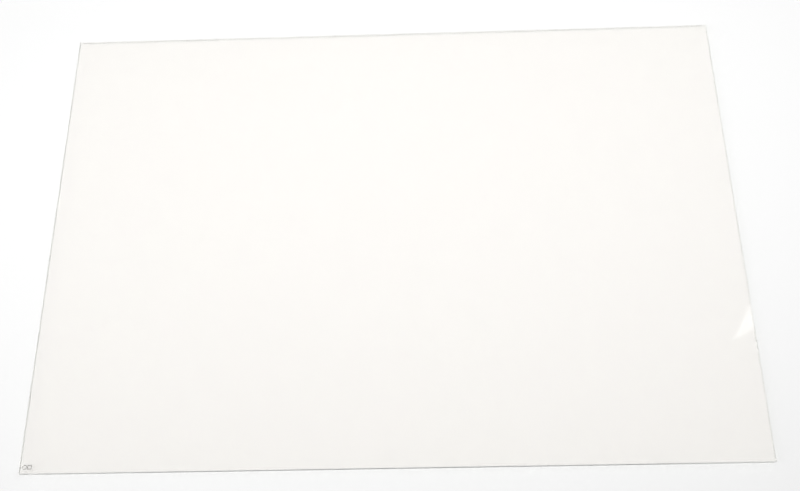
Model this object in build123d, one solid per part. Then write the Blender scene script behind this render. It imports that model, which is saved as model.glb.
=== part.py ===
from build123d import *
import os

# Inner glass of an oven door: one plain pane of toughened float glass.
# It lies flat on its lower face, as it would come to rest.
# The origin is the middle of the lower face. X runs along the width, Y along the height
# from the door's bottom rail to its top rail, and Z through the thickness.
# Before toughening, the cut sheet is ground: its four upright corners are clipped (dubbed),
# and a narrow 45 degree seam (arris) takes the sharpness off both rims.

# Driving dimensions, in millimetres
PANE_WIDTH = 480.0
PANE_HEIGHT = 330.0
GLASS_THICKNESS = 4.0
CORNER_DUB = 0.5  # leg of the clip across each upright corner
EDGE_SEAM = 0.35  # leg of the seam along the lower and upper rims


def pane_outline():
    """The cut sheet seen from above: a rectangle with its four corners dubbed."""
    sheet = Rectangle(PANE_WIDTH, PANE_HEIGHT)
    return chamfer(sheet.vertices(), length=CORNER_DUB)


def inner_glass():
    """The finished pane: the outline at full thickness, with both rims seamed."""
    sheet = extrude(pane_outline(), amount=GLASS_THICKNESS, dir=(0, 0, 1))
    faces_upward = sheet.faces().sort_by(Axis.Z)
    lower_rim = faces_upward[0].edges()
    upper_rim = faces_upward[-1].edges()
    return chamfer(lower_rim + upper_rim, length=EDGE_SEAM)


def write_parts(parts):
    """One STEP file for each sub-part, named after its node."""
    os.makedirs("parts", exist_ok=True)
    for node, shape in parts.items():
        export_step(shape, f"parts/{node}.step")


write_parts({"inner_glass": inner_glass()})
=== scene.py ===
import math

import bmesh
import bpy
from mathutils import Matrix, Vector


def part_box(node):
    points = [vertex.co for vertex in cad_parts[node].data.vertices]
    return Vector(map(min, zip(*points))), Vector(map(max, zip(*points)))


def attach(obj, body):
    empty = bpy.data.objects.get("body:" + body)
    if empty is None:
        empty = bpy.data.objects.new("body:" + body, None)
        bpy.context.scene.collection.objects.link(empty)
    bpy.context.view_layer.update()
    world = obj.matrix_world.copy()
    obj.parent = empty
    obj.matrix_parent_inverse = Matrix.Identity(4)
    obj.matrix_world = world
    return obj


# Inner glass of an oven door, lying flat on a pale table.
# Lengths are in metres, angles in degrees, and colours are linear.

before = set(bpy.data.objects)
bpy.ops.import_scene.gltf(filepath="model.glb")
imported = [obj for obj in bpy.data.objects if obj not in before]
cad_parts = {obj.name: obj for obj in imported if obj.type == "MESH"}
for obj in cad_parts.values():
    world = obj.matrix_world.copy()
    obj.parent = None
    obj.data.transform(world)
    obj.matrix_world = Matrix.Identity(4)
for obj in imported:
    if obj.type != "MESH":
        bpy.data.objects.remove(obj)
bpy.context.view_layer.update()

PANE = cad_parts["inner_glass"]
PANE_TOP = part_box("inner_glass")[1][2]

# Glass. The pane has three finishes: polished faces with a faint warm cast, ground flats along its
# edges, and rougher seams between the two.
GLASS_IOR = 1.52
FACE_TINT = (0.973, 0.963, 0.951)
EDGE_TINT = (0.95, 0.945, 0.93)
SEAM_TINT = (0.95, 0.945, 0.93)
FACE_ROUGHNESS = 0.0
EDGE_ROUGHNESS = 0.16
SEAM_ROUGHNESS = 0.60

# Share of each finish that is see-through; the rest is ground to a matt white
FACE_CLEARNESS = 1.0
EDGE_CLEARNESS = 0.85
SEAM_CLEARNESS = 0.25

# Share of a lamp's straight light that gets through each finish
FACE_LETS_THROUGH = (0.953, 0.9465, 0.937)
EDGE_LETS_THROUGH = 0.90
SEAM_LETS_THROUGH = 0.74

# Upright share of the surface's normal from which it is a seam and not an edge, and from which it is a face
SEAM_FROM = 0.35
FACE_FROM = 0.85

# Grain of the ground surfaces: noise whose middle range spreads their roughness
GRAIN_SCALE = 900.0
GRAIN_DETAIL = 3.0
GRAIN_RANGE = (0.3, 0.7)
GRAIN_SPREAD = (0.75, 1.25)

# The glass itself takes a little light, green least of all. It shows where light has run far inside
# the pane, mirrored many times between its faces, and comes out at an edge.
ABSORPTION_COLOUR = (0.72, 0.755, 0.725)
ABSORPTION_DENSITY = 10.0
LIGHT_BOUNCES = 64

# Camera: in front of the pane and above it, turned a little about its own axis
CAMERA_AZIMUTH = 3.90
CAMERA_ELEVATION = 66.53
CAMERA_ROLL = -4.87
CAMERA_DISTANCE = 0.6826
CAMERA_AIM = (0.0056, -0.0103, 0.0)
CAMERA_LENS = 44.0
CAMERA_SENSOR = 36.0
CAMERA_CLIP_START = 0.01

# Printed mark near the lower left corner: a ring and a square outline in fired ink, just under the
# upper face
MARK_RING_CENTRE = (-0.2361, -0.1608)
MARK_RING_RADIUS = 0.0014
MARK_RING_POINTS = 48
MARK_SQUARE_CENTRE = (-0.2330, -0.1608)
MARK_SQUARE_HALF = 0.0013
MARK_LINE = 0.00030
MARK_SINK = 0.00001
MARK_THICKNESS = 0.00004
INK_COLOURS = ((0.10, 0.10, 0.095), (0.16, 0.155, 0.15))
INK_SPOT_SCALE = 4000.0
INK_ROUGHNESS = 0.6

# Table
TABLE_GAP = 0.0002  # room between the table and the pane
TABLE_SIZE = 12.0
TABLE_COLOUR = (0.94, 0.94, 0.94)
TABLE_ROUGHNESS = 0.9
TABLE_LIT_TO = 0.30  # distance from the middle to which only the lamps light the table
TABLE_WHITE_FROM = 0.55  # distance from which it is the plain white of the backdrop

# Sky: faint as a light on things, and stronger where the glass mirrors it, most of all on its bright side
SKY_LIGHT = 0.15
SKY_LEVEL = 0.66
SKY_SLOPE = 0.34
SKY_BRIGHT_SIDE = (0.45, 0.90, 0.0)

# Lamps that only light the scene: one close above the pane, and one far off to its left
TOP_LAMP_PLACE = (0.008, 0.062, 0.50)
TOP_LAMP_SIZE = (1.26, 0.74)
TOP_LAMP_RADIANCE = 1.27
FILL_LAMP_PLACE = (-3.7, -1.2, 1.9)
FILL_LAMP_SIZE = (3.0, 3.0)
FILL_LAMP_RADIANCE = 3.65

# Lamp that the glass mirrors too: its corner is the highlight at the pane's right edge
SIDE_LAMP_CORNER = (0.745, 0.426, 1.647)
SIDE_LAMP_ALONG = (0.514, 0.796, 0.320)
SIDE_LAMP_DOWN = (0.439, 0.076, -0.895)
SIDE_LAMP_SIZE = (1.5, 1.6)
SIDE_LAMP_RADIANCE = 2.5
SIDE_LAMP_BORDER = 0.010  # share of the lamp's width and height over which it fades at its border

# Places of a mix node's sockets, whose names are the same for numbers and for colours
MIX_FACTOR = 0
MIX_NUMBERS = (2, 3)
MIX_NUMBER_RESULT = 0
MIX_COLOURS = (6, 7)
MIX_COLOUR_RESULT = 2


def add(tree, kind, **settings):
    """A new node with its settings."""
    node = tree.nodes.new(kind)
    for name, value in settings.items():
        setattr(node, name, value)
    return node


def join(tree, source, target):
    """Links an output to an input."""
    tree.links.new(source, target)


def feed(tree, value, target):
    """Gives an input its value, which is an output of another node or a plain number."""
    if isinstance(value, bpy.types.NodeSocket):
        join(tree, value, target)
    else:
        target.default_value = value


def math_node(tree, operation, first, second=0.0):
    """The result of a sum on outputs or plain numbers."""
    node = add(tree, "ShaderNodeMath", operation=operation)
    feed(tree, first, node.inputs[0])
    feed(tree, second, node.inputs[1])
    return node.outputs["Value"]


def value_range(tree, source, given, wanted, smooth=False):
    """source moved from the range given to the range wanted, and held there beyond the ends."""
    node = add(tree, "ShaderNodeMapRange")
    node.interpolation_type = "SMOOTHSTEP" if smooth else "LINEAR"
    node.inputs["From Min"].default_value = given[0]
    node.inputs["From Max"].default_value = given[1]
    node.inputs["To Min"].default_value = wanted[0]
    node.inputs["To Max"].default_value = wanted[1]
    join(tree, source, node.inputs["Value"])
    return node.outputs["Result"]


def number_mix(tree, factor, first, second):
    """first where factor is 0 and second where it is 1; both are outputs or plain numbers."""
    node = add(tree, "ShaderNodeMix", data_type="FLOAT")
    join(tree, factor, node.inputs[MIX_FACTOR])
    for place, value in zip(MIX_NUMBERS, (first, second)):
        feed(tree, value, node.inputs[place])
    return node.outputs[MIX_NUMBER_RESULT]


def colour_mix(tree, factor, first, second):
    """The colour first where factor is 0 and second where it is 1."""
    node = add(tree, "ShaderNodeMix", data_type="RGBA")
    join(tree, factor, node.inputs[MIX_FACTOR])
    for place, colour in zip(MIX_COLOURS, (first, second)):
        node.inputs[place].default_value = (*colour, 1)
    return node.outputs[MIX_COLOUR_RESULT]


def shader_mix(tree, factor, first, second, output):
    """Makes output show the shader first where factor is 0 and second where it is 1."""
    mix = add(tree, "ShaderNodeMixShader")
    join(tree, factor, mix.inputs["Fac"])
    join(tree, first, mix.inputs[1])
    join(tree, second, mix.inputs[2])
    join(tree, mix.outputs["Shader"], output.inputs["Surface"])


def new_material(name):
    """A node material with a bare Principled shader, its tree and its output."""
    material = bpy.data.materials.new(name)
    material.use_nodes = True
    tree = material.node_tree
    tree.nodes.clear()
    shader = add(tree, "ShaderNodeBsdfPrincipled")
    output = add(tree, "ShaderNodeOutputMaterial")
    join(tree, shader.outputs["BSDF"], output.inputs["Surface"])
    return material, tree, shader, output


def by_finish(tree, upright, edge, seam, face):
    """A colour, or a number as a grey, for each of the pane's three finishes."""
    ramp = add(tree, "ShaderNodeValToRGB")
    ramp.color_ramp.interpolation = "CONSTANT"
    stops = ramp.color_ramp.elements
    stops[1].position = SEAM_FROM
    stops.new(FACE_FROM)
    for stop, value in zip(stops, (edge, seam, face)):
        colour = value if isinstance(value, tuple) else (value, value, value)
        stop.color = (*colour, 1)
    join(tree, upright, ramp.inputs["Fac"])
    return ramp.outputs["Color"]


def glass_material():
    """Clear glass in the pane's three finishes, which lets the lamps light what lies under it."""
    material, tree, shader, output = new_material("clear_glass")
    coords = add(tree, "ShaderNodeTexCoord")
    split = add(tree, "ShaderNodeSeparateXYZ")
    join(tree, coords.outputs["Normal"], split.inputs["Vector"])
    upright = math_node(tree, "ABSOLUTE", split.outputs["Z"])

    tint = by_finish(tree, upright, EDGE_TINT, SEAM_TINT, FACE_TINT)
    join(tree, tint, shader.inputs["Base Color"])
    clear = by_finish(tree, upright, EDGE_CLEARNESS, SEAM_CLEARNESS, FACE_CLEARNESS)
    join(tree, clear, shader.inputs["Transmission Weight"])
    shader.inputs["IOR"].default_value = GLASS_IOR

    grain = add(tree, "ShaderNodeTexNoise")
    grain.inputs["Scale"].default_value = GRAIN_SCALE
    grain.inputs["Detail"].default_value = GRAIN_DETAIL
    join(tree, coords.outputs["Object"], grain.inputs["Vector"])
    spread = value_range(tree, grain.outputs["Fac"], GRAIN_RANGE, GRAIN_SPREAD)
    rough = by_finish(tree, upright, EDGE_ROUGHNESS, SEAM_ROUGHNESS, FACE_ROUGHNESS)
    join(tree, math_node(tree, "MULTIPLY", rough, spread), shader.inputs["Roughness"])

    lamps_pass = add(tree, "ShaderNodeBsdfTransparent")
    passed = by_finish(tree, upright, EDGE_LETS_THROUGH, SEAM_LETS_THROUGH, FACE_LETS_THROUGH)
    join(tree, passed, lamps_pass.inputs["Color"])
    path = add(tree, "ShaderNodeLightPath")
    to_lamp = path.outputs["Is Shadow Ray"]
    shader_mix(tree, to_lamp, shader.outputs["BSDF"], lamps_pass.outputs["BSDF"], output)

    absorb = add(tree, "ShaderNodeVolumeAbsorption")
    absorb.inputs["Color"].default_value = (*ABSORPTION_COLOUR, 1)
    absorb.inputs["Density"].default_value = ABSORPTION_DENSITY
    join(tree, absorb.outputs["Volume"], output.inputs["Volume"])
    return material


def ink_material():
    """Dark fired ink with a fine speckle."""
    material, tree, shader, _ = new_material("fired_ink")
    coords = add(tree, "ShaderNodeTexCoord")
    spots = add(tree, "ShaderNodeTexNoise")
    spots.inputs["Scale"].default_value = INK_SPOT_SCALE
    join(tree, coords.outputs["Object"], spots.inputs["Vector"])
    join(tree, colour_mix(tree, spots.outputs["Fac"], *INK_COLOURS), shader.inputs["Base Color"])
    shader.inputs["Roughness"].default_value = INK_ROUGHNESS
    return material


def polygon(centre, radius, count, turn):
    """Corner points of a regular polygon round centre."""
    points = []
    for step in range(count):
        angle = math.radians(turn) + math.tau * step / count
        points.append((centre[0] + radius * math.cos(angle), centre[1] + radius * math.sin(angle)))
    return points


def add_band(bm, outer, inner, low, high):
    """A closed flat band between two outlines with as many points each."""
    rings = []
    for outline, z in ((outer, low), (outer, high), (inner, high), (inner, low)):
        rings.append([bm.verts.new((*point, z)) for point in outline])
    count = len(outer)
    for ring, following in zip(rings, rings[1:] + rings[:1]):
        for step in range(count):
            after = (step + 1) % count
            bm.faces.new((ring[step], ring[after], following[after], following[step]))


def make_mark():
    """The printed ring and square, as one thin piece."""
    high = PANE_TOP - MARK_SINK
    low = high - MARK_THICKNESS
    to_corner = math.sqrt(2)
    outlines = (
        (MARK_RING_CENTRE, MARK_RING_RADIUS, MARK_LINE, MARK_RING_POINTS, 0),
        (MARK_SQUARE_CENTRE, MARK_SQUARE_HALF * to_corner, MARK_LINE * to_corner, 4, 45),
    )
    bm = bmesh.new()
    for centre, radius, line, points, turn in outlines:
        outer = polygon(centre, radius, points, turn)
        inner = polygon(centre, radius - line, points, turn)
        add_band(bm, outer, inner, low, high)
    mesh = bpy.data.meshes.new("corner_mark")
    bm.to_mesh(mesh)
    bm.free()
    mark = bpy.data.objects.new("corner_mark", mesh)
    bpy.context.scene.collection.objects.link(mark)
    mark.data.materials.append(ink_material())
    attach(mark, "root")


def seen_directly(tree):
    """1 for what the camera sees by itself or in and through glass, 0 for light that falls on things."""
    path = add(tree, "ShaderNodeLightPath")
    by_glass = math_node(tree, "MAXIMUM", path.outputs["Is Glossy Ray"], path.outputs["Is Transmission Ray"])
    seen = math_node(tree, "MAXIMUM", path.outputs["Is Camera Ray"], by_glass)
    first = math_node(tree, "LESS_THAN", path.outputs["Diffuse Depth"], 0.5)
    return math_node(tree, "MULTIPLY", seen, first)


def table_material():
    """Matt and pale, lit by the lamps near the object and turning into the white backdrop far off."""
    material, tree, shader, output = new_material("pale_table")
    shader.inputs["Base Color"].default_value = (*TABLE_COLOUR, 1)
    shader.inputs["Roughness"].default_value = TABLE_ROUGHNESS
    shader.inputs["Specular IOR Level"].default_value = 0.0
    coords = add(tree, "ShaderNodeTexCoord")
    distance = add(tree, "ShaderNodeVectorMath", operation="LENGTH")
    join(tree, coords.outputs["Object"], distance.inputs[0])
    turning = (TABLE_LIT_TO, TABLE_WHITE_FROM)
    far = value_range(tree, distance.outputs["Value"], turning, (0.0, 1.0), smooth=True)
    white = add(tree, "ShaderNodeEmission")
    whiteness = math_node(tree, "MULTIPLY", far, seen_directly(tree))
    shader_mix(tree, whiteness, shader.outputs["BSDF"], white.outputs["Emission"], output)
    return material


def make_table():
    """The table's flat top."""
    half = TABLE_SIZE / 2
    corners = [(-half, -half, 0), (half, -half, 0), (half, half, 0), (-half, half, 0)]
    mesh = bpy.data.meshes.new("table")
    mesh.from_pydata(corners, [], [(0, 1, 2, 3)])
    table = bpy.data.objects.new("table", mesh)
    bpy.context.scene.collection.objects.link(table)
    table.location.z = -TABLE_GAP
    table.data.materials.append(table_material())


def make_sky():
    """Faint light from all round; the glass mirrors it as brighter, and the camera sees plain white."""
    world = bpy.data.worlds.new("studio")
    bpy.context.scene.world = world
    world.use_nodes = True
    world.cycles.sampling_method = "NONE"
    tree = world.node_tree
    coords = add(tree, "ShaderNodeTexCoord")
    side = add(tree, "ShaderNodeVectorMath", operation="DOT_PRODUCT")
    side.inputs[1].default_value = Vector(SKY_BRIGHT_SIDE).normalized()
    join(tree, coords.outputs["Generated"], side.inputs[0])
    slope = math_node(tree, "MULTIPLY", side.outputs["Value"], SKY_SLOPE)
    mirrored = math_node(tree, "ADD", slope, SKY_LEVEL)
    in_glass = number_mix(tree, seen_directly(tree), SKY_LIGHT, mirrored)
    path = add(tree, "ShaderNodeLightPath")
    strength = math_node(tree, "MAXIMUM", in_glass, path.outputs["Is Camera Ray"])
    background = tree.nodes["Background"]
    background.inputs["Color"].default_value = (1, 1, 1, 1)
    join(tree, strength, background.inputs["Strength"])


def area_lamp(name, radiance, size, matrix):
    """A flat soft lamp that shines along its own -Z, with as much power on each part of its face."""
    width, height = size
    data = bpy.data.lights.new(name, "AREA")
    data.shape = "RECTANGLE"
    data.size = width
    data.size_y = height
    data.energy = radiance * math.pi * width * height
    lamp = bpy.data.objects.new(name, data)
    bpy.context.scene.collection.objects.link(lamp)
    lamp.matrix_world = matrix
    lamp.visible_camera = False
    return lamp


def fade_border(lamp):
    """Lets the lamp's light fade to nothing at its four sides."""
    lamp.data.use_nodes = True
    tree = lamp.data.node_tree
    place = add(tree, "ShaderNodeNewGeometry")
    split = add(tree, "ShaderNodeSeparateXYZ")
    join(tree, place.outputs["Parametric"], split.inputs["Vector"])
    middle = 0.5
    fades = []
    for axis in ("X", "Y"):
        offset = math_node(tree, "SUBTRACT", split.outputs[axis], middle)
        distance = math_node(tree, "ABSOLUTE", offset)
        border = (middle - SIDE_LAMP_BORDER, middle)
        fades.append(value_range(tree, distance, border, (1.0, 0.0), smooth=True))
    join(tree, math_node(tree, "MULTIPLY", *fades), tree.nodes["Emission"].inputs["Strength"])


def make_lighting():
    """The two lamps that only light the scene, and that the glass doesn't mirror."""
    above = Matrix.Translation(TOP_LAMP_PLACE)
    top = area_lamp("top_lamp", TOP_LAMP_RADIANCE, TOP_LAMP_SIZE, above)
    turn = Vector(FILL_LAMP_PLACE).to_track_quat("Z", "Y").to_matrix().to_4x4()
    aside = Matrix.Translation(FILL_LAMP_PLACE) @ turn
    fill = area_lamp("fill_lamp", FILL_LAMP_RADIANCE, FILL_LAMP_SIZE, aside)
    for lamp in (top, fill):
        lamp.data.cycles.use_multiple_importance_sampling = False
        lamp.visible_glossy = False
        lamp.visible_transmission = False


def make_side_lamp():
    """The lamp whose corner shows as the highlight."""
    along = Vector(SIDE_LAMP_ALONG).normalized()
    down = Vector(SIDE_LAMP_DOWN)
    down = (down - along * down.dot(along)).normalized()
    width, height = SIDE_LAMP_SIZE
    centre = Vector(SIDE_LAMP_CORNER) + along * width / 2 + down * height / 2
    turn = Matrix((along, -down, along.cross(-down))).transposed().to_4x4()
    matrix = Matrix.Translation(centre) @ turn
    side = area_lamp("side_lamp", SIDE_LAMP_RADIANCE, SIDE_LAMP_SIZE, matrix)
    side.visible_transmission = False
    fade_border(side)


def make_camera():
    """The camera, aimed at a point on the table."""
    data = bpy.data.cameras.new("camera")
    data.lens = CAMERA_LENS
    data.sensor_width = CAMERA_SENSOR
    data.clip_start = CAMERA_CLIP_START
    camera = bpy.data.objects.new("camera", data)
    bpy.context.scene.collection.objects.link(camera)
    turn = Matrix.Rotation(math.radians(CAMERA_AZIMUTH), 4, "Z")
    tip = Matrix.Rotation(math.radians(90 - CAMERA_ELEVATION), 4, "X")
    back = Matrix.Translation((0, 0, CAMERA_DISTANCE))
    roll = Matrix.Rotation(math.radians(CAMERA_ROLL), 4, "Z")
    camera.matrix_world = Matrix.Translation(CAMERA_AIM) @ turn @ tip @ back @ roll
    bpy.context.scene.camera = camera


def set_light_paths():
    """Plain colours, sharp mirroring, and enough bounces for light that runs along inside the glass."""
    scene = bpy.context.scene
    scene.view_settings.view_transform = "Standard"
    cycles = scene.cycles
    cycles.blur_glossy = 0.0
    # Noise is taken out by the picture's own colours alone, which keeps the thin lines at the edges even
    cycles.denoising_input_passes = "RGB"
    cycles.max_bounces = LIGHT_BOUNCES
    cycles.glossy_bounces = LIGHT_BOUNCES
    cycles.transmission_bounces = LIGHT_BOUNCES


PANE.material_slots[0].material = glass_material()
make_mark()
make_table()
make_sky()
make_lighting()
make_side_lamp()
make_camera()
set_light_paths()
